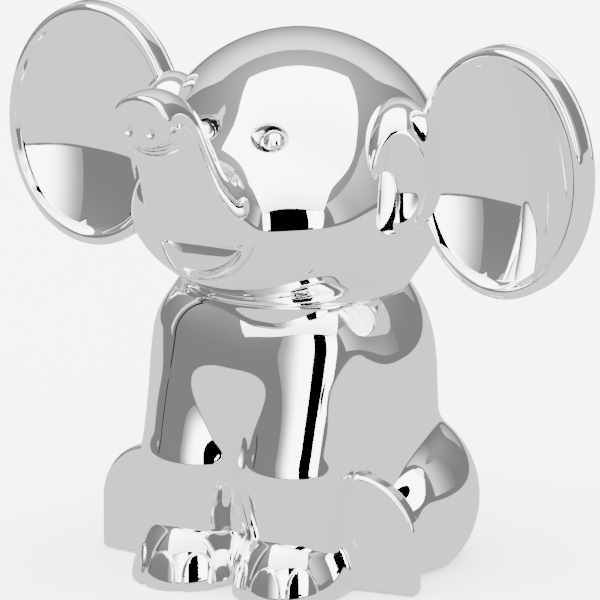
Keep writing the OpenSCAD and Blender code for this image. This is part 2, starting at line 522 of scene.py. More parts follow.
def only(obj: bpy.types.Object) -> bpy.types.Object:
    """Makes an object the only selected and active one and returns it.

    Args:
        obj: The object.

    Returns:
        The object.
    """
    deselect()
    obj.select_set(True)
    bpy.context.view_layer.objects.active = obj
    return obj


def apply_modifier(obj: bpy.types.Object, kind: str, **settings: object) -> None:
    """Adds a modifier with settings and applies it.

    Args:
        obj: The object.
        kind: The modifier's type.
        **settings: Its properties.
    """
    only(obj)
    modifier = obj.modifiers.new(kind.lower(), kind)
    for name, value in settings.items():
        setattr(modifier, name, value)
    bpy.ops.object.modifier_apply(modifier=modifier.name)


def coords(obj: bpy.types.Object) -> np.ndarray:
    """Returns the places of an object's vertices.

    Args:
        obj: The object.

    Returns:
        One place a row.
    """
    flat = np.empty(len(obj.data.vertices) * 3)
    obj.data.vertices.foreach_get("co", flat)
    return flat.reshape(-1, 3)


def set_coords(obj: bpy.types.Object, points: np.ndarray) -> None:
    """Moves an object's vertices to the given places."""
    obj.data.vertices.foreach_set("co", points.astype(np.float32).ravel())
    obj.data.update()


def join_new(before: set[str], name: str) -> bpy.types.Object:
    """Joins every object made since a moment into one.

    Args:
        before: Names of the objects that existed then.
        name: Name of the joined object.

    Returns:
        The joined object, with its place in its mesh.
    """
    deselect()
    made = [o for o in bpy.data.objects if o.name not in before]
    for obj in made:
        obj.select_set(True)
    bpy.context.view_layer.objects.active = made[0]
    bpy.ops.object.transform_apply(location=True, rotation=True, scale=True)
    if len(made) > 1:
        bpy.ops.object.join()
    joined = bpy.context.view_layer.objects.active
    bpy.ops.object.transform_apply(location=True, rotation=True, scale=True)
    joined.name = joined.data.name = name
    return joined


def rough_solid(form: Form, name: str, voxel: float) -> bpy.types.Object:
    """Builds a form's rough solid from primitives.

    Args:
        form: The form.
        name: Name of the object.
        voxel: Size of the remeshed faces.

    Returns:
        The solid, remeshed into even faces.
    """
    before = set(bpy.data.objects.keys())
    form.rough_parts()
    solid = join_new(before, name)
    apply_modifier(solid, "REMESH", mode="VOXEL", voxel_size=voxel)
    for step in form.steps:
        if step.act is Act.CARVE:
            before = set(bpy.data.objects.keys())
            deselect()
            step.shape.rough()
            cutter = join_new(before, "cutter")
            apply_modifier(solid, "BOOLEAN", operation="DIFFERENCE", solver="MANIFOLD", object=cutter)
            bpy.data.objects.remove(cutter)
        elif step.act is Act.TRIM:
            bisect(solid, step.shape.point, step.shape.normal)
    apply_modifier(solid, "REMESH", mode="VOXEL", voxel_size=voxel)
    return solid


def bisect(obj: bpy.types.Object, point: Point, normal: Point) -> None:
    """Cuts away what lies on the normal's side of a plane and closes the cut.

    Args:
        obj: The object.
        point: A point of the plane.
        normal: Its normal.
    """
    only(obj)
    bpy.ops.object.mode_set(mode="EDIT")
    bpy.ops.mesh.select_all(action="SELECT")
    bpy.ops.mesh.bisect(plane_co=point, plane_no=normal, use_fill=True, clear_outer=True)
    bpy.ops.object.mode_set(mode="OBJECT")


def relax(obj: bpy.types.Object, form: Form, rounds: int) -> None:
    """Evens out an object's faces while its points stay on the form."""
    for _ in range(rounds):
        only(obj)
        bpy.ops.object.mode_set(mode="EDIT")
        bpy.ops.mesh.select_all(action="SELECT")
        bpy.ops.mesh.vertices_smooth(factor=0.5, repeat=3)
        bpy.ops.object.mode_set(mode="OBJECT")
        set_coords(obj, form.settled(coords(obj)))


def refine(obj: bpy.types.Object, form: Form, angle: float, smallest: float) -> int:
    """Subdivides the faces across which the form turns sharply.

    Args:
        obj: The object.
        form: The form that it lies on.
        angle: Turn in degrees above which a face is subdivided.
        smallest: Edges shorter than this are left alone.

    Returns:
        How many edges were subdivided.
    """
    mesh = obj.data
    points = coords(obj)
    normals = form.slope(points)
    normals /= np.maximum(np.linalg.norm(normals, axis=1, keepdims=True), 1e-9)
    ends = np.empty(len(mesh.edges) * 2, int)
    mesh.edges.foreach_get("vertices", ends)
    ends = ends.reshape(-1, 2)
    a, b = ends[:, 0], ends[:, 1]
    turned = (normals[a] * normals[b]).sum(axis=1) < math.cos(math.radians(angle))
    chosen = turned & (np.linalg.norm(points[a] - points[b], axis=1) > smallest)
    wanted = np.zeros(len(points), bool)
    wanted[ends[chosen].ravel()] = True
    only(obj)
    bpy.ops.object.mode_set(mode="EDIT")
    bpy.ops.mesh.select_mode(type="VERT")
    bpy.ops.mesh.select_all(action="DESELECT")
    bpy.ops.object.mode_set(mode="OBJECT")
    mesh.vertices.foreach_set("select", wanted)
    mesh.edges.foreach_set("select", wanted[a] & wanted[b])
    bpy.ops.object.mode_set(mode="EDIT")
    if chosen.any():
        bpy.ops.mesh.subdivide(number_cuts=1)
    bpy.ops.object.mode_set(mode="OBJECT")
    set_coords(obj, form.settled(coords(obj), 3))
    return int(chosen.sum())


def shade_by_form(obj: bpy.types.Object, form: Form, tolerance: float = 0.03) -> None:
    """Shades the faces that lie on a form by the form's own normals, the others by angle.

    Args:
        obj: The object.
        form: The form.
        tolerance: How far off the form a vertex may lie, in millimetres.
    """
    only(obj)
    bpy.ops.object.shade_smooth_by_angle(angle=math.radians(30))
    mesh = obj.data
    corner_normals = np.empty(len(mesh.loops) * 3, np.float32)
    mesh.corner_normals.foreach_get("vector", corner_normals)
    corner_normals = corner_normals.reshape(-1, 3)
    corners = np.empty(len(mesh.loops), int)
    mesh.loops.foreach_get("vertex_index", corners)
    points = coords(obj)
    slope = form.slope(points)
    steep = np.maximum(np.linalg.norm(slope, axis=1), 1e-9)
    slope /= steep[:, None]
    on_form = np.abs(form.distance(points)) < tolerance
    totals = np.empty(len(mesh.polygons), int)
    mesh.polygons.foreach_get("loop_total", totals)
    face_of = np.repeat(np.arange(len(totals)), totals)
    face_on = np.bincount(face_of, weights=on_form[corners]) >= totals - 0.5
    flat = np.empty(len(totals) * 3, np.float32)
    mesh.polygons.foreach_get("normal", flat)
    agrees = (flat.reshape(-1, 3)[face_of] * slope[corners]).sum(axis=1) > 0.3
    use = face_on[face_of] & agrees
    corner_normals[use] = slope[corners][use]
    mesh.normals_split_custom_set([tuple(n) for n in corner_normals.tolist()])
    reach = 0.9
    groove = np.where(on_form, 1.0 - form.distance(points + reach * slope) / (reach * steep), 0.0)
    mark = mesh.attributes.new("groove", "FLOAT", "POINT")
    mark.data.foreach_set("value", np.clip(groove, 0.0, 1.0).astype(np.float32))


def cut_with(obj: bpy.types.Object, cutter: bpy.types.Object) -> None:
    """Cuts one object out of another and removes the cutter."""
    apply_modifier(obj, "BOOLEAN", operation="DIFFERENCE", solver="MANIFOLD", object=cutter)
    bpy.data.objects.remove(cutter)


def to_frame(obj: bpy.types.Object) -> bpy.types.Object:
    """Moves a mesh from the figure's millimetres to the frame's metres and returns its object."""
    obj.data.transform(Matrix.Translation(Vector(SHIFT * MM)) @ Matrix.Scale(MM, 4))
    return obj


# --- Reliefs ------------------------------------------------------------------------------------


@dataclass(frozen=True)
class Ridge:
    """A raised or sunk line along a chain of points.

    Attributes:
        path: The points.
        width: Half width of the line.
        height: How far it rises above the surface, negative where it sinks.
    """

    path: tuple[Point, ...]
    width: float
    height: float

    def distance(self, p: np.ndarray) -> np.ndarray:
        """Returns what the line adds to the field at each point.

        Args:
            p: The points, one a row.

        Returns:
            One value a point.
        """
        least = np.full(len(p), 1e6)
        pts = np.array(self.path)
        low, high = pts.min(axis=0) - 3 * self.width, pts.max(axis=0) + 3 * self.width
        close = ((p > low) & (p < high)).all(axis=1)
        if not close.any():
            return np.zeros(len(p))
        q = p[close]
        gap = np.full(len(q), 1e6)
        for a, b in zip(pts[:-1], pts[1:]):
            along = np.clip((q - a) @ (b - a) / np.dot(b - a, b - a), 0.0, 1.0)
            gap = np.minimum(gap, ((q - a - along[:, None] * (b - a)) ** 2).sum(axis=1))
        least[close] = gap
        return -self.height * np.exp(-least / self.width**2)


@dataclass(frozen=True)
class Pad:
    """A raised or sunk patch with a soft edge, measured as an ellipsoid round a point.

    Attributes:
        lump: The ellipsoid whose inside is the patch.
        height: How far the patch rises, negative where it sinks.
        edge: Width of its edge.
    """

    lump: Lump
    height: float
    edge: float

    def distance(self, p: np.ndarray) -> np.ndarray:
        """Returns what the patch adds to the field at each point."""
        return -self.height * smooth_step(0.5 - self.lump.distance(p) / self.edge)


@dataclass(frozen=True)
class Smile:
    """The lower lip: a raised rim round the mouth's lower edge, with a fine crease outside it.

    Attributes:
        half_width: Half the distance between the mouth's corners.
        top_z: Height of its corners.
        low_z: Height of its lowest point.
        lip: Height of the lip.
        crease: Depth of the crease.
    """

    half_width: float = 9.9
    top_z: float = 84.4
    low_z: float = 77.0
    lip: float = 0.7
    crease: float = 0.5

    def distance(self, p: np.ndarray) -> np.ndarray:
        """Returns what the lip adds to the field at each point.

        Args:
            p: The points, one a row.

        Returns:
            One value a point.
        """
        x, z = p[:, 0], p[:, 2]
        front = smooth_step((-p[:, 1] - 27.0) / 3.0) * smooth_step((96.0 - z) / 3.0)
        deep = self.top_z - self.low_z
        radius = (self.half_width**2 + deep**2) / (2 * deep)
        outside = np.hypot(x, z - self.low_z - radius) - radius
        ends = smooth_step((self.top_z + 0.6 - z) / 2.4)
        lip = self.lip * np.exp(-(((outside - 1.0) / 0.95) ** 2))
        crease = self.crease * np.exp(-(((outside - 2.7) / 0.6) ** 2))
        return front * ends * (crease - lip)


@dataclass(frozen=True)
class Wrinkles:
    """Fine creases across the trunk's underside.

    Attributes:
        trunk: The trunk.
        places: Where each crease lies along the trunk, as a share of its length.
        width: Half width of a crease as a share of the trunk's length.
        depth: Depth of a crease.
    """

    trunk: Trunk
    places: tuple[float, ...]
    width: float
    depth: float

    def distance(self, p: np.ndarray) -> np.ndarray:
        """Returns what the creases add to the field at each point.

        Args:
            p: The points, one a row.

        Returns:
            One value a point.
        """
        result = np.zeros(len(p))
        close = (p[:, 1] < -38.0) & (p[:, 2] > 96.0)
        if not close.any():
            return result
        q = p[close]
        place, at = self.trunk.nearest(q)
        share = place / (self.trunk.samples - 1)
        ahead, side = -q[:, 1] - at[:, 0], q[:, 0]
        below = ahead * 0.75 + (at[:, 1] - q[:, 2]) * 0.66
        facing = below / np.maximum(np.hypot(below, side), 1e-6)
        bend = share + 0.012 * (1.0 - facing)
        lines = sum(np.exp(-(((bend - s) / self.width) ** 2)) for s in self.places)
        result[close] = self.depth * lines * smooth_step((facing - 0.35) / 0.5)
        return result


# --- Castings -----------------------------------------------------------------------------------


def both(*shapes: Lump | Limb | Sole) -> list[Lump | Limb | Sole]:
    """Returns the shapes and their mirror images."""
    return [s for shape in shapes for s in (shape, shape.mirrored())]


@dataclass
class Casting:
    """A casting whose surface is a smooth form.

    Attributes:
        name: Name of the piece.
        nodes: The frame's nodes that it stands for.
        voxel: Size of its faces before they are refined.
    """

    name: str
    nodes: tuple[str, ...]
    voxel: float = 0.95

    def form(self) -> Form:
        """Returns the casting's outer form."""
        raise NotImplementedError

    def skin(self) -> tuple[bpy.types.Object, Form]:
        """Builds the casting's outer surface.

        Returns:
            Its object, in the figure's millimetres, and its form.
        """
        form = self.form()
        obj = rough_solid(form, self.name, self.voxel * (1.0))
        set_coords(obj, form.settled(coords(obj), 8))
        relax(obj, form, 2)
        for _ in range(3):
            split = refine(obj, form, 9.0, 0.22)
            LOG.info("%s: %d edges refined", self.name, split)
        return obj, form

    def finished(self, obj: bpy.types.Object, form: Form, material: bpy.types.Material) -> bpy.types.Object:
        """Shades, places, dresses and attaches the casting, and returns its object.

        Args:
            obj: The object.
            form: The form.
            material: Its finish.

        Returns:
            The piece.
        """
        shade_by_form(obj, form)
        to_frame(obj)
        obj.data.materials.clear()
        obj.data.materials.append(material)
        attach(obj, "bank")
        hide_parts(*self.nodes)
        LOG.info("%s: %d faces", self.name, len(obj.data.polygons))
        return obj


@dataclass
class BodyCasting(Casting):
    """Torso, legs, hind feet and tail in one hollow casting.

    Attributes:
        wall: Thickness of the casting.
        neck_z: Height of the seam with the head.
        foot_z: Height of its underside above the table.
        slot_half: Half length and half height of the coin slot.
        slot_z: Height of the coin slot's middle.
        base_y: Place of the base opening's axis, behind the torso's.
    """

    wall: float = 2.2
    neck_z: float = 65.0
    foot_z: float = 0.5
    slot_half: tuple[float, float] = (18.0, 2.5)
    slot_z: float = 51.0
    base_y: float = 3.0

    def solids(self, inset: float = 0.0) -> Form:
        """Returns torso and legs without trims or reliefs, made smaller by an inset.

        Args:
            inset: How far inside the outer surface it lies.

        Returns:
            The form.
        """
        def less(*shapes: Lump | Limb) -> list[Lump | Limb]:
            """Returns the shapes, made smaller."""
            return [s.grown(-inset) for s in shapes]

        torso = Form()
        torso.join(8.0, *less(Lump((0, 3.4, 47.5), (32.4, 31.4, 29.5))))
        torso.join(9.0, *less(Lump((0, 4.5, 30), (33.6, 28.0, 33))))
        torso.join(6.0, *less(Lump((0, 8, 20), (33, 30, 25)), Lump((0, 3, 5), (32, 27.5, 10))))
        legs = Form()
        for side in (-1, 1):
            thigh = Limb((side * 12.3, -11.0, 54), (side * 12.2, -19.0, 27), 13.8, 13.3)
            shin = Limb((side * 12.2, -19.0, 27), (side * 13.2, -20.0, 12), 13.3, 10.2)
            foot = Lump((side * 12.9, -20.4, -1.5), (13.2, 16.0, 18.5))
            legs.join(2.6, Form().join(0.8, *less(thigh, shin)).join(1.0, *less(foot)))
        torso.join(5.0, legs)
        haunch = both(Lump((22, 10, 15), (20, 20, 21)))
        torso.join(3.0, *less(*haunch))
        torso.join(4.0, *less(*both(Limb((24.4, -1.5, 10.5), (23, 7, 13), 12.2, 15.0))))
        return torso

    def nails(self) -> list[Pad]:
        """Returns the raised toenails of both front feet."""
        nails = []
        for side in (-1, 1):
            for angle in (-38, 2, 40):
                a = math.radians(side * angle)
                spot = (side * 12.9 + 13.0 * math.sin(a), -20.4 - 15.6 * math.cos(a), 2.2)
                nails.append(Pad(Lump(spot, (3.7, 5.0, 6.6), turn=side * angle), 0.45, 0.8))
        return nails

    def form(self) -> Form:
        """Returns the casting's outer form."""
        form = self.solids()
        form.join(1.6, *both(Sole((25.3, -14.2, 12), 15.0, 2.2, 6.0)))
        form.join(
            1.5, Limb((0, 36.6, 28), (0, 37.9, 20), 2.6, 2.1),
            Limb((0, 37.9, 20), (0, 36.2, 13), 2.1, 2.0), Limb((0, 36.2, 13), (0, 34.2, 8), 2.0, 3.0),
        )
        form.carve(0.8, Block((0, 34, self.slot_z), (self.slot_half[0], 12, self.slot_half[1]), 0.8))
        form.trim(0.8, HalfSpace((0, 0, self.foot_z), (0, 0, -1)))
        form.trim(0.6, HalfSpace((0, 0, self.neck_z), (0, 0, 1)))
        form.relief(*self.nails())
        return form

    def build(self, material: bpy.types.Material) -> bpy.types.Object:
        """Builds the hollow casting.

        Args:
            material: Its finish.

        Returns:
            The piece.
        """
        obj, form = self.skin()
        inner = self.solids(self.wall)
        inner.trim(1.0, HalfSpace((0, 0, 5.4), (0, 0, -1)))
        inner.trim(1.0, HalfSpace((0, 0, self.neck_z - 2.6), (0, 0, 1)))
        hollow = rough_solid(inner, "hollow", 2.2)
        set_coords(hollow, inner.settled(coords(hollow), 4))
        cut_with(obj, hollow)
        for radius, top in ((24.0, 2.4), (17.5, 6.4)):
            bpy.ops.mesh.primitive_cylinder_add(
                vertices=128, radius=radius, depth=top + 2, location=(0, self.base_y, top / 2 - 1)
            )
            cut_with(obj, only(bpy.context.active_object))
        return self.finished(obj, form, material)


@dataclass
class HeadCasting(Casting):
    """Skull, cheeks, trunk, mouth and eyes in one casting.

    Attributes:
        neck_z: Height of the seam with the body.
        skull: The skull's ball.
        eye: Place of the left eye's middle.
        eye_r: Radius of the eyes.
        trunk: The trunk.
        face_forward: How far forward the trunk's flat tip lies.
    """

    neck_z: float = 65.0
    skull: Lump = Lump((0, 6, 88.2), (34.2, 34.2, 34.2))
    eye: Point = (9.0, -22.4, 102.8)
    eye_r: float = 3.1
    trunk: Trunk = Trunk((
        (16, 84, 15.0, 1.10), (30, 84.5, 13.6, 1.06), (40, 89, 11.4, 1.02), (46.5, 96, 9.6, 1.0),
        (51, 104, 8.5, 1.0), (55.5, 111.5, 7.6, 1.04), (61, 115.6, 6.5, 1.12), (67, 115.6, 5.9, 1.2),
        (73, 114.6, 5.7, 1.22),
    ))
    face_forward: float = 66.6

    def base(self, inset: float = 0.0) -> Form:
        """Returns skull and cheeks, made smaller by an inset.

        Args:
            inset: How far inside the outer surface it lies.

        Returns:
            The form.
        """
        form = Form()
        form.join(1.0, self.skull.grown(-inset))
        form.join(8.0, Lump((0, -8, 86.5), (31, 22, 21)).grown(-inset))
        form.join(8.0, Lump((0, -19, 85.0), (27.5, 19.0, 17.2)).grown(-inset))
        return form

    def form(self) -> Form:
        """Returns the casting's outer form."""
        form = self.base()
        form.join(4.0, Lump((0, 3.4, 63.5), (26.0, 25.4, 9.5)))
        form.join(8.0, self.trunk)
        scoop = Form().join(1.0, Lump((0, -45.5, 84.4), (19.0, 8.0, 9.6)))
        scoop.trim(1.2, HalfSpace((0, -40, 83.2), (0, 0.25, 1)))
        form.carve(0.7, scoop)
        form.trim(2.2, HalfSpace((0, -self.face_forward, 115.4), (0, -1, -0.12)))
        form.trim(0.6, HalfSpace((0, 0, self.neck_z), (0, 0, -1)))
        x, y, z = self.eye
        form.carve(0.8, *both(Lump((x - 0.2, y - 2.1, z + 2.1), (4.6, 3.4, 3.5))))
        form.join(0.35, *both(Lump(self.eye, (self.eye_r,) * 3)))
        form.relief(Smile(), Wrinkles(self.trunk, (0.655, 0.69, 0.725), 0.0065, 0.36))
        for side in (-1, 1):
            nostril = tuple((side * 2.7, -self.face_forward, z) for z in (113.6, 114.0))
            form.relief(Ridge(nostril, 2.1, 0.85), Ridge(nostril, 0.9, -1.3))
        return form

    def build(self, material: bpy.types.Material) -> bpy.types.Object:
        """Builds the casting.

        Args:
            material: Its finish.

        Returns:
            The piece.
        """
        obj, form = self.skin()
        inner = self.base(2.2)
        inner.trim(1.0, HalfSpace((0, 0, self.neck_z + 2.6), (0, 0, -1)))
        hollow = rough_solid(inner, "hollow", 2.4)
        set_coords(hollow, inner.settled(coords(hollow), 4))
        cut_with(obj, hollow)
        bpy.ops.mesh.primitive_cylinder_add(vertices=96, radius=10.5, depth=8, location=(0, 4.5, self.neck_z))
        cut_with(obj, only(bpy.context.active_object))
        return self.finished(obj, form, material)


@dataclass
class Ear:
    """One ear: a front dish with a raised rim and the fold at its root, and a domed back.

    Attributes:
        side: 1 for the elephant's left, -1 for its right.
        centre: Middle of the left ear's rim.
        half_w: Half width.
        half_h: Half height.
        hollow: Depth of the dish.
        joint: Depth of the joint between dish and back, behind the rim.
        back: Depth of the back's deepest point, behind the rim.
        turn: Angle in degrees by which the ear cups forward.
        steps: How many places round its axis it is turned in.
    """

    side: int
    centre: Point = (52.0, 1.0, 95.4)
    half_w: float = 21.4
    half_h: float = 28.6
    hollow: float = 6.0
    joint: float = 5.4
    back: float = 10.4
    turn: float = 3.0
    steps: ClassVar[int] = 176

    @property
    def title(self) -> str:
        """Returns the side's name."""
        return "left" if self.side > 0 else "right"

    def dish_profile(self) -> list[tuple[float, float]]:
        """Returns the dish's section, radius against depth behind the rim."""
        r, lip = self.half_h, 1.75
        inner = r - 2.3
        bowl = [(s * inner, self.hollow * (1 - s**2.1) + 0.62) for s in np.linspace(0, 1, 26)[:-1]]
        lip_arc = [
            (r - lip + lip * math.cos(a), lip - lip * math.sin(a))
            for a in np.radians(np.linspace(128, 0, 12))
        ]
        wall = [(r, 3.0), (r, self.joint - 0.9)]
        edge = [(r - 0.75 + 0.75 * math.cos(a), self.joint - 0.75 + 0.75 * math.sin(a))
                for a in np.radians(np.linspace(20, 90, 5))]
        behind = [(r - 2.4, self.joint)]
        behind += [(s * inner, self.hollow * (1 - s**2.6) + 2.0) for s in np.linspace(0.8, 0, 7)]
        return bowl + lip_arc + wall + edge + behind

    def back_profile(self) -> list[tuple[float, float]]:
        """Returns the back's section, radius against depth behind the rim."""
        r, start = self.half_h, self.joint + 0.1
        groove = [(r - 2.4, start), (r - 0.9, start)]
        edge = [
            (r - 0.7 + 0.7 * math.sin(a), start + 0.7 - 0.7 * math.cos(a))
            for a in np.radians(np.linspace(10, 90, 6))
        ]
        rise = self.back - start - 0.7
        dome = [
            (r * math.cos(a) ** 0.9, start + 0.7 + rise * math.sin(a))
            for a in np.radians(np.linspace(6, 90, 30))
        ]
        inside = [
            ((r - 2.4) * math.cos(a), start + (rise - 0.9) * math.sin(a))
            for a in np.radians(np.linspace(90, 12, 8))
        ]
        return groove + edge + dome + inside

    def turned(self, name: str, profile: list[tuple[float, float]]) -> bpy.types.Object:
        """Turns a section about the ear's axis and places it.

        Args:
            name: Name of the object.
            profile: Radius and depth of each point of the section.

        Returns:
            The oval shell, in the figure's millimetres.
        """
        deselect()
        bpy.ops.mesh.primitive_plane_add(size=1.0)
        obj = bpy.context.active_object
        obj.name = obj.data.name = name
        bpy.ops.object.mode_set(mode="EDIT")
        bpy.ops.mesh.select_mode(type="VERT")
        bpy.ops.mesh.merge(type="CENTER")
        (r0, d0), rest = profile[0], profile[1:]
        bpy.ops.transform.translate(value=(max(r0, 0.0), d0, 0.0))
        last = (r0, d0)
        for radius, depth in rest:
            step = (radius - last[0], depth - last[1], 0.0)
            bpy.ops.mesh.extrude_region_move(TRANSFORM_OT_translate={"value": step})
            last = (radius, depth)
        bpy.ops.mesh.select_all(action="SELECT")
        bpy.ops.mesh.spin(steps=self.steps, angle=math.tau, center=(0, 0, 0), axis=(0, 1, 0))
        bpy.ops.mesh.select_all(action="SELECT")
        bpy.ops.mesh.remove_doubles(threshold=1e-4)
        bpy.ops.mesh.normals_make_consistent(inside=False)
        bpy.ops.object.mode_set(mode="OBJECT")
        place = Matrix.Translation(Vector(self.centre)) @ Matrix.Rotation(math.radians(-self.turn), 4, "Z")
        obj.data.transform(place @ Matrix.Diagonal((self.half_w / self.half_h, 1.0, 1.0, 1.0)))
        return self.on_side(obj)

    def on_side(self, obj: bpy.types.Object) -> bpy.types.Object:
        """Mirrors a piece made for the left ear if this is the right one, and returns it."""
        if self.side < 0:
            obj.data.transform(Matrix.Diagonal((-1.0, 1.0, 1.0, 1.0)))
            obj.data.flip_normals()
        return obj

    def fold_form(self) -> Form:
        """Returns the raised fold at the ear's root, on the left side."""
        form = Form()
        form.join(1.0, Lump((29.0, -1.2, 94.6), (9.4, 12.4, 16.4)))
        form.carve(2.0, Lump((35.3, -11.6, 94.2), (6.4, 5.4, 13.0), turn=45))
        return form

    def fold(self) -> bpy.types.Object:
        """Builds the fold, in the figure's millimetres."""
        form = self.fold_form()
        obj = rough_solid(form, "fold", 0.8)
        set_coords(obj, form.settled(coords(obj), 6))
        relax(obj, form, 2)
        for _ in range(2):
            refine(obj, form, 8.0, 0.2)
        shade_by_form(obj, form)
        return self.on_side(obj)

    def build(self, material: bpy.types.Material) -> list[bpy.types.Object]:
        """Builds the ear's two pieces.

        Args:
            material: Their finish.

        Returns:
            The dish with its fold, and the back.
        """
        dish = self.turned(f"{self.title}_ear_front", self.dish_profile())
        only(dish)
        bpy.ops.object.shade_smooth_by_angle(angle=math.radians(34))
        fold = self.fold()
        deselect()
        fold.select_set(True)
        dish.select_set(True)
        bpy.context.view_layer.objects.active = dish
        bpy.ops.object.join()
        back = self.turned(f"{self.title}_ear_rear", self.back_profile())
        only(back)
        bpy.ops.object.shade_smooth_by_angle(angle=math.radians(34))
        for obj, node in ((dish, f"{self.title}_ear_dish"), (back, f"{self.title}_ear_back")):
            to_frame(obj)
            obj.data.materials.clear()
            obj.data.materials.append(material)
            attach(obj, "bank")
            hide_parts(node)
            LOG.info("%s: %d faces", obj.name, len(obj.data.polygons))
        return [dish, back]


# --- Finishes -----------------------------------------------------------------------------------


class Socket(Enum):
    """Kinds of socket on a shared node group."""

    NUMBER = "NodeSocketFloat"
    COLOUR = "NodeSocketColor"
    VECTOR = "NodeSocketVector"


@dataclass
class Group:
    """A shared node group under construction.

    Attributes:
        name: The group's name.
    """

    name: str

    def __post_init__(self) -> None:
        """Makes the empty group."""
        self.tree = bpy.data.node_groups.new(self.name, "ShaderNodeTree")
        self.inside = self.tree.nodes.new("NodeGroupInput")
        self.outside = self.tree.nodes.new("NodeGroupOutput")

    def takes(self, name: str, kind: Socket, default: object = None) -> "Group":
        """Adds a named input and returns the group.

        Args:
            name: Its name.
            kind: Its kind.
            default: Its value where nothing is linked.

        Returns:
            The group.
        """
        made = self.tree.interface.new_socket(name, in_out="INPUT", socket_type=kind.value)
        if default is not None:
            made.default_value = default
        return self

    def gives(self, name: str, kind: Socket) -> "Group":
        """Adds a named output and returns the group."""
        self.tree.interface.new_socket(name, in_out="OUTPUT", socket_type=kind.value)
        return self

    def node(
        self, kind: str, links: dict[str | int, object] | None = None, **settings: object
    ) -> bpy.types.Node:
        """Adds a node.

        Args:
            kind: Its type, without the common prefix.
            links: What feeds each input: a socket, or a value.
            **settings: Its properties.

        Returns:
            The node.
        """
        return add_node(self.tree, kind, links, **settings)

    def result(self, **sockets: bpy.types.NodeSocket) -> bpy.types.NodeTree:
        """Feeds the outputs by name, underscores standing for spaces, and returns the tree."""
        for name, socket in sockets.items():
            self.tree.links.new(socket, self.outside.inputs[name.replace("_", " ")])
        return self.tree


def add_node(
    tree: bpy.types.NodeTree, kind: str, links: dict[str | int, object] | None = None, **settings: object
) -> bpy.types.Node:
    """Adds a node to a tree, with its settings and links.

    Args:
        tree: The tree.
        kind: Kind of the node, without its prefix.
        links: What each input gets, a value or another node's output.
        settings: The node's own settings.

    Returns:
        The node.
    """
    node = tree.nodes.new("ShaderNode" + kind)
    for name, value in settings.items():
        setattr(node, name, value)
    for key, value in (links or {}).items():
        if isinstance(value, bpy.types.NodeSocket):
            tree.links.new(value, node.inputs[key])
        else:
            node.inputs[key].default_value = value
    return node


def handling_marks() -> bpy.types.NodeTree:
    """Returns the group of fine wiping marks and faint haze that handling leaves on plating."""
    if "handling marks" in bpy.data.node_groups:
        return bpy.data.node_groups["handling marks"]
    g = Group("handling marks")
    g.takes("Vector", Socket.VECTOR)
    g.takes("Smoothest", Socket.NUMBER, 0.02).takes("Dullest", Socket.NUMBER, 0.08)
    g.gives("Roughness", Socket.NUMBER).gives("Scratch Height", Socket.NUMBER)
    place = g.inside.outputs["Vector"]
    haze = g.node("TexNoise", {"Vector": place, "Scale": 42.0, "Detail": 4.0, "Roughness": 0.55})
    smears = g.node("Mapping", {"Vector": place, "Rotation": (0.4, 0.2, 0.9), "Scale": (1.0, 7.0, 2.2)})
    wipe = g.node("TexNoise", {"Vector": smears.outputs[0], "Scale": 60.0, "Detail": 3.0})
    both_marks = g.node("Math", {0: haze.outputs["Fac"], 1: wipe.outputs["Fac"]}, operation="MULTIPLY")
    level = g.node("MapRange", {
        "Value": both_marks.outputs[0], "From Min": 0.2, "From Max": 0.42,
        "To Min": g.inside.outputs["Smoothest"], "To Max": g.inside.outputs["Dullest"],
    })
    hair = g.node("Mapping", {"Vector": place, "Rotation": (0.2, 0.7, 0.3), "Scale": (90.0, 1400.0, 160.0)})
    scratch = g.node("TexNoise", {"Vector": hair.outputs[0], "Scale": 1.0, "Detail": 2.0})
    fine = g.node("MapRange", {"Value": scratch.outputs["Fac"], "From Min": 0.62, "From Max": 0.8,
                               "To Min": 0.0, "To Max": 1.0})
    return g.result(Roughness=level.outputs[0], Scratch_Height=fine.outputs[0])


def casting_skin() -> bpy.types.NodeTree:
    """Returns the group of the soft unevenness that polishing leaves on a casting."""
    if "casting skin" in bpy.data.node_groups:
        return bpy.data.node_groups["casting skin"]
    g = Group("casting skin")
    g.takes("Vector", Socket.VECTOR).gives("Bump Height", Socket.NUMBER)
    place = g.inside.outputs["Vector"]
    slow = g.node("TexNoise", {"Vector": place, "Scale": 95.0, "Detail": 1.0, "Roughness": 0.4})
    fast = g.node("TexNoise", {"Vector": place, "Scale": 300.0, "Detail": 1.0, "Roughness": 0.4})
    quiet = g.node("Math", {0: fast.outputs["Fac"], 1: 0.16}, operation="MULTIPLY")
    height = g.node("Math", {0: slow.outputs["Fac"], 1: quiet.outputs[0]}, operation="ADD")
    return g.result(Bump_Height=height.outputs[0])


def groove_tarnish() -> bpy.types.NodeTree:
    """Returns the group of the dark film that stays in grooves which polishing doesn't reach."""
    if "groove tarnish" in bpy.data.node_groups:
        return bpy.data.node_groups["groove tarnish"]
    g = Group("groove tarnish")
    g.takes("Colour", Socket.COLOUR, (0.9, 0.9, 0.9, 1.0))
    g.takes("Film", Socket.COLOUR, (0.05, 0.05, 0.05, 1.0))
    g.gives("Base Color", Socket.COLOUR)
    depth = g.node("Attribute", attribute_name="groove")
    share = g.node("MapRange", {"Value": depth.outputs["Fac"], "From Min": 0.3, "From Max": 0.95},
                   interpolation_type="SMOOTHSTEP")
    tint = g.node("Mix", {"Factor": share.outputs[0], "A": g.inside.outputs["Colour"],
                          "B": g.inside.outputs["Film"]}, data_type="RGBA")
    return g.result(Base_Color=next(s for s in tint.outputs if s.type == "RGBA"))


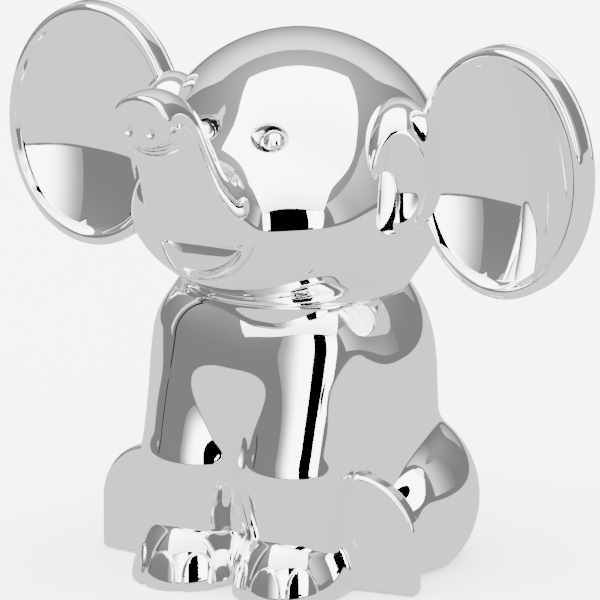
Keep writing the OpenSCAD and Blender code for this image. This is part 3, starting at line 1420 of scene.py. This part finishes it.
def settled_dust() -> bpy.types.NodeTree:
    """Returns the group of fine specks of dust that lie on a surface."""
    if "settled dust" in bpy.data.node_groups:
        return bpy.data.node_groups["settled dust"]
    g = Group("settled dust")
    g.takes("Vector", Socket.VECTOR).takes("Colour", Socket.COLOUR, (0.9, 0.9, 0.9, 1.0))
    g.takes("Roughness", Socket.NUMBER, 0.05).takes("Amount", Socket.NUMBER, 0.5)
    g.gives("Base Color", Socket.COLOUR).gives("Roughness", Socket.NUMBER)
    cells = g.node("TexVoronoi", {"Vector": g.inside.outputs["Vector"], "Scale": 420.0})
    speck = g.node("MapRange", {"Value": cells.outputs["Distance"], "From Min": 0.03, "From Max": 0.09,
                                "To Min": 1.0, "To Max": 0.0})
    thin = g.node("TexNoise", {"Vector": g.inside.outputs["Vector"], "Scale": 130.0})
    sparse = g.node("MapRange", {"Value": thin.outputs["Fac"], "From Min": 0.58, "From Max": 0.7})
    amount = g.node("Math", {0: speck.outputs[0], 1: sparse.outputs[0]}, operation="MULTIPLY")
    share = g.node("Math", {0: amount.outputs[0], 1: g.inside.outputs["Amount"]}, operation="MULTIPLY")
    tint = g.node("Mix", {"Factor": share.outputs[0], "A": g.inside.outputs["Colour"],
                          "B": (0.62, 0.61, 0.6, 1.0)}, data_type="RGBA")
    rough = g.node("Mix", {"Factor": share.outputs[0], "A": g.inside.outputs["Roughness"], "B": 0.7},
                   data_type="FLOAT")
    colour_out = next(s for s in tint.outputs if s.type == "RGBA")
    return g.result(Base_Color=colour_out, Roughness=rough.outputs[0])


@dataclass(frozen=True)
class Finish:
    """A finish made of a base colour and shared effects.

    Attributes:
        name: The material's name.
        colour: Its base colour.
        metallic: 1 for metals, 0 for others.
        smoothest: Roughness where it is smoothest.
        dullest: Roughness where it is dullest.
        dust: How much dust lies on it.
        skin: Depth in metres of the surface's unevenness.
        scratch: Depth in metres of its scratches.
        sheen: Share of the soft sheen of fibres.
        grain: Depth in metres of its fibres or moulded grain.
        grain_scale: How many grains there are in a metre, about.
    """

    name: str
    colour: tuple[float, float, float]
    metallic: float = 0.0
    smoothest: float = 0.3
    dullest: float = 0.5
    dust: float = 0.3
    skin: float = 0.0
    scratch: float = 0.0
    sheen: float = 0.0
    grain: float = 0.0
    grain_scale: float = 900.0

    def make(self) -> bpy.types.Material:
        """Returns the finish as a material."""
        material = bpy.data.materials.new(self.name)
        material.use_nodes = True
        tree = material.node_tree
        shader = tree.nodes["Principled BSDF"]
        shader.inputs["Metallic"].default_value = self.metallic
        shader.inputs["Sheen Weight"].default_value = self.sheen
        place = add_node(tree, "TexCoord").outputs["Object"]
        marks = add_node(tree, "Group", node_tree=handling_marks())
        tree.links.new(place, marks.inputs["Vector"])
        marks.inputs["Smoothest"].default_value = self.smoothest
        marks.inputs["Dullest"].default_value = self.dullest
        dust = add_node(tree, "Group", node_tree=settled_dust())
        tree.links.new(place, dust.inputs["Vector"])
        tree.links.new(marks.outputs["Roughness"], dust.inputs["Roughness"])
        dust.inputs["Colour"].default_value = (*self.colour, 1.0)
        dust.inputs["Amount"].default_value = self.dust
        film = add_node(tree, "Group", node_tree=groove_tarnish())
        tree.links.new(dust.outputs["Base Color"], film.inputs["Colour"])
        tree.links.new(film.outputs["Base Color"], shader.inputs["Base Color"])
        tree.links.new(dust.outputs["Roughness"], shader.inputs["Roughness"])
        normal = None
        if self.skin:
            skin = add_node(tree, "Group", node_tree=casting_skin())
            tree.links.new(place, skin.inputs["Vector"])
            normal = self.bump(tree, skin.outputs["Bump Height"], self.skin, normal)
        if self.scratch:
            normal = self.bump(tree, marks.outputs["Scratch Height"], self.scratch, normal)
        if self.grain:
            noise = add_node(tree, "TexNoise", {"Vector": place, "Scale": self.grain_scale, "Detail": 3.0})
            normal = self.bump(tree, noise.outputs["Fac"], self.grain, normal)
        if normal is not None:
            tree.links.new(normal, shader.inputs["Normal"])
        return material

    @staticmethod
    def bump(
        tree: bpy.types.NodeTree, height: bpy.types.NodeSocket, depth: float,
        below: bpy.types.NodeSocket | None,
    ) -> bpy.types.NodeSocket:
        """Adds a bump of a real depth over the one below, and returns its normal.

        Args:
            tree: The tree.
            height: What gives the height.
            depth: Its depth in metres.
            below: The normal of the bump below, if any.

        Returns:
            The bump's normal.
        """
        links: dict[str | int, object] = {"Height": height, "Distance": depth, "Strength": 1.0}
        if below is not None:
            links["Normal"] = below
        return add_node(tree, "Bump", links).outputs["Normal"]


SILVER_PLATE = Finish("silver plate", (0.95, 0.95, 0.945), 1.0, 0.015, 0.05, 0.12, skin=1.2e-5, scratch=2e-7)
ZINC = Finish("zinc plated steel", (0.62, 0.64, 0.66), 1.0, 0.26, 0.42, 0.2, skin=1e-6, scratch=2e-6)
NICKEL = Finish("satin nickel", (0.70, 0.69, 0.66), 1.0, 0.2, 0.34, 0.2, scratch=3e-6)
FELT = Finish(
    "black felt", (0.018, 0.018, 0.02), 0.0, 0.9, 1.0, 0.4, sheen=0.6, grain=1.5e-4, grain_scale=2600.0
)
RUBBER = Finish(
    "black rubber", (0.022, 0.022, 0.024), 0.0, 0.42, 0.6, 0.35, grain=1.2e-5, grain_scale=1500.0
)

NODE_FINISHES = {
    "ear_nuts": ZINC, "ear_washers": ZINC, "neck_screws": ZINC, "neck_washers": ZINC, "base_screws": ZINC,
    "base_plate": NICKEL, "felt_pad": FELT, "stopper": RUBBER,
}


# --- Studio -------------------------------------------------------------------------------------


@dataclass(frozen=True)
class Fade:
    """How a cloth's glow changes across it.

    Attributes:
        glow: Glow where the change begins.
        begin: Where it begins, as a share of the cloth.
        end: Where it ends.
        axis: X across the cloth, Y up it.
    """

    glow: float
    begin: float = 0.0
    end: float = 0.5
    axis: str = "X"


@dataclass(frozen=True)
class Panel:
    """A flat panel of the studio that faces the object.

    Attributes:
        name: Its name.
        azimuth: Its direction round the object, in degrees to the camera's right.
        elevation: Its direction above the table, in degrees.
        distance: Its distance from the object, in metres.
        width: Its width.
        height: Its height.
        glow: How brightly it glows, 0 for a black flag.
        roll: Angle in degrees by which it is rolled about its own axis.
        taper: Width of its upper edge as a share of its lower edge's.
        fade: How its glow changes across it.
    """

    name: str
    azimuth: float
    elevation: float
    distance: float
    width: float
    height: float
    glow: float
    roll: float = 0.0
    taper: float = 1.0
    fade: Fade | None = None


def heading(azimuth: float, elevation: float) -> Vector:
    """Returns the direction at an angle round the object and one above the table, in degrees."""
    a, e = math.radians(azimuth), math.radians(elevation)
    return Vector((math.sin(a) * math.cos(e), -math.cos(a) * math.cos(e), math.sin(e)))


@dataclass
class Studio:
    """Pale floor, a painted floor reflection, grey tent, white panels, black flags and the camera.

    Attributes:
        azimuth: The camera's direction round the object, in degrees.
        elevation: Its direction above the table, in degrees.
        distance: Its distance from the torso's axis, in metres.
        view_width: Width of what it sees at the torso's axis, in metres.
        aim: Where it looks, to the right of and above the figure's base point, in metres.
        floor_radius: Radius of the floor and of the tent, in metres.
        world_glow: How brightly the room lights the floor.
        tent_glow: How brightly the tent glows at the table.
        tent_top_glow: How brightly it glows at its top.
        floor_reflection_glow: How brightly the painted floor reflection glows, a grey sheet that only the
            plating mirrors.
        panel_lift: Height of the point that the panels face, in metres.
        panels: The panels and flags.
    """

    azimuth: float = 28.0
    elevation: float = 15.0
    distance: float = 1.25
    view_width: float = 0.1379
    aim: tuple[float, float] = (0.003, 0.0586)
    floor_radius: float = 2.6
    world_glow: float = 14.0
    tent_glow: float = 0.24
    tent_top_glow: float = 0.8
    floor_reflection_glow: float = 1.25
    panel_lift: float = 0.06
    panels: ClassVar[tuple[Panel, ...]] = (
        Panel(
            "front softbox", 0.0, 72.0, 1.25, 2.7, 1.7, 9.0, taper=0.55, fade=Fade(5.0, 0.0, 0.6, "Y")
        ),
        Panel("softbox frame", 0.0, 72.0, 1.27, 2.78, 1.76, 0.0, taper=0.55),
        Panel("low front panel", 3.0, 18.8, 1.9, 3.3, 1.3, 9.0, fade=Fade(0.5, 0.0, 0.38)),
        Panel("front flag", 17.0, 18.8, 1.8, 0.66, 1.3, 0.0),
        Panel("flag head", 27.0, 35.0, 1.8, 0.6, 0.14, 0.0, roll=-14.0),
        Panel("flag foot", 24.0, 1.5, 1.8, 0.5, 0.09, 0.0),
        Panel("left strip panel", -96.0, 26.0, 1.6, 0.12, 1.2, 1.6),
        Panel("left flag", -88.0, 24.0, 1.5, 0.05, 1.2, 0.0),
        Panel("rear panel", 180.0, 30.0, 1.9, 3.2, 1.7, 2.0, fade=Fade(0.5, 0.0, 0.9, "Y")),
        Panel("right panel", 76.0, 20.0, 1.7, 1.1, 1.0, 0.3, fade=Fade(1.3, 0.0, 1.0)),
    )

    def place_camera(self) -> bpy.types.Object:
        """Makes the scene's camera and returns it."""
        data = bpy.data.cameras.new("camera")
        data.sensor_width = 36.0
        data.lens = data.sensor_width * self.distance / self.view_width
        data.clip_start, data.clip_end = 0.01, 50.0
        camera = bpy.data.objects.new("camera", data)
        bpy.context.scene.collection.objects.link(camera)
        back = heading(self.azimuth, self.elevation)
        turn = (-back).to_track_quat("-Z", "Y")
        right, up = turn @ Vector((1, 0, 0)), turn @ Vector((0, 1, 0))
        base = Vector(SHIFT * MM)
        camera.rotation_mode = "QUATERNION"
        camera.rotation_quaternion = turn
        camera.location = base + right * self.aim[0] + up * self.aim[1] + back * self.distance
        bpy.context.scene.camera = camera
        return camera

    def glowing(self, name: str, glow: float, fade: Fade | None = None) -> bpy.types.Material:
        """Makes a plain material that glows, or a black one.

        Args:
            name: Its name.
            glow: How brightly it glows.
            fade: How its glow changes across it.

        Returns:
            The material.
        """
        material = bpy.data.materials.new(name)
        material.use_nodes = True
        tree = material.node_tree
        tree.nodes.clear()
        out = add_node(tree, "OutputMaterial")
        strength: bpy.types.NodeSocket | float = glow
        if fade is not None:
            across = add_node(tree, "SeparateXYZ", {"Vector": add_node(tree, "UVMap").outputs["UV"]})
            ramp = add_node(tree, "MapRange", {
                "Value": across.outputs[fade.axis], "From Min": fade.begin, "From Max": fade.end,
                "To Min": math.log(fade.glow), "To Max": math.log(glow),
            }, interpolation_type="SMOOTHSTEP")
            strength = add_node(tree, "Math", {0: math.e, 1: ramp.outputs[0]}, operation="POWER").outputs[0]
        light = add_node(tree, "Emission", {"Color": (1.0, 1.0, 1.0, 1.0), "Strength": strength})
        tree.links.new(light.outputs[0], out.inputs["Surface"])
        return material

    def hang(self, panel: Panel) -> bpy.types.Object:
        """Hangs a panel and returns it.

        Args:
            panel: The panel.

        Returns:
            The panel's object.
        """
        away = heading(self.azimuth + panel.azimuth, panel.elevation)
        roll = Matrix.Rotation(math.radians(panel.roll), 4, "Z").to_quaternion()
        turn = away.to_track_quat("Z", "Y") @ roll
        deselect()
        bpy.ops.mesh.primitive_plane_add(size=1.0)
        obj = bpy.context.active_object
        size = Matrix.Diagonal((panel.width, panel.height, 1.0, 1.0))
        place = Matrix.Translation(away * panel.distance + Vector((0, 0, self.panel_lift)))
        for vertex in obj.data.vertices:
            if vertex.co.y > 0.0:
                vertex.co.x *= panel.taper
        obj.data.transform(place @ turn.to_matrix().to_4x4() @ size)
        obj.name = panel.name.replace(" ", "_")
        obj.data.materials.append(self.glowing(panel.name, panel.glow, panel.fade))
        obj.visible_camera = False
        return obj

    def disc(self, name: str, height: float) -> bpy.types.Object:
        """Lays a round sheet as wide as the tent at a height, and returns it.

        Args:
            name: Its name.
            height: Its height in metres.

        Returns:
            The sheet.
        """
        deselect()
        bpy.ops.mesh.primitive_circle_add(
            vertices=128, radius=self.floor_radius, fill_type="NGON", location=(0, 0, height)
        )
        sheet = bpy.context.active_object
        sheet.name = name
        return sheet

    def lay_floor(self) -> bpy.types.Object:
        """Lays the pale floor and returns it."""
        floor = self.disc("floor", 0.0)
        material = bpy.data.materials.new("pale floor")
        material.use_nodes = True
        shader = material.node_tree.nodes["Principled BSDF"]
        shader.inputs["Base Color"].default_value = (0.9, 0.9, 0.9, 1.0)
        shader.inputs["Roughness"].default_value = 0.8
        shader.inputs["Specular IOR Level"].default_value = 0.2
        floor.data.materials.append(material)
        # The plating doesn't mirror this floor; it mirrors the painted floor reflection laid under it.
        floor.visible_glossy = False
        return floor

    def lay_mirrored_floor(self) -> bpy.types.Object:
        """Lays a painted floor reflection: a light grey sheet that glows just under the floor, which the
        plating mirrors in place of the floor.
        """
        cloth = self.disc("mirrored_floor", -0.0002)
        # Painted reflection: a fixed grey glow that stands in for the floor in the plating's mirror image.
        cloth.data.materials.append(self.glowing("painted floor reflection", self.floor_reflection_glow))
        cloth.visible_camera = cloth.visible_diffuse = cloth.visible_shadow = False
        return cloth

    def pitch_tent(self) -> bpy.types.Object:
        """Pitches the grey tent that the plating mirrors, and returns it."""
        deselect()
        bpy.ops.mesh.primitive_uv_sphere_add(segments=64, ring_count=32, radius=self.floor_radius)
        tent = bpy.context.active_object
        tent.name = "tent"
        fade = Fade(self.tent_glow, 0.55, 0.95, "Y")
        tent.data.materials.append(self.glowing("tent cloth", self.tent_top_glow, fade))
        tent.visible_camera = tent.visible_diffuse = tent.visible_shadow = False
        return tent

    def build(self) -> None:
        """Builds the studio."""
        world = bpy.data.worlds.new("studio")
        world.use_nodes = True
        colour = (self.world_glow, self.world_glow, self.world_glow, 1.0)
        world.node_tree.nodes["Background"].inputs["Color"].default_value = colour
        bpy.context.scene.world = world
        self.lay_floor()
        self.lay_mirrored_floor()
        self.pitch_tent()
        for panel in self.panels:
            self.hang(panel)
        self.place_camera()
        LOG.info("studio: %d panels", len(self.panels))


def dress_hardware() -> None:
    """Gives the frame's own pieces their finishes."""
    made: dict[str, bpy.types.Material] = {}
    for node, finish in NODE_FINISHES.items():
        if finish.name not in made:
            made[finish.name] = finish.make()
        obj = frame["nodes"][node]
        obj.data.materials.clear()
        obj.data.materials.append(made[finish.name])
        LOG.info("%s: %s", node, finish.name)


def main() -> None:
    """Builds the money box and its studio."""
    logging.basicConfig(level=logging.INFO, format="%(name)s: %(message)s")
    plate = SILVER_PLATE.make()
    BodyCasting("body", ("body_shell",)).build(plate)
    HeadCasting("head", ("head_shell",)).build(plate)
    for side in (1, -1):
        Ear(side).build(plate)
    dress_hardware()
    Studio().build()


if __name__ == "__main__":
    main()
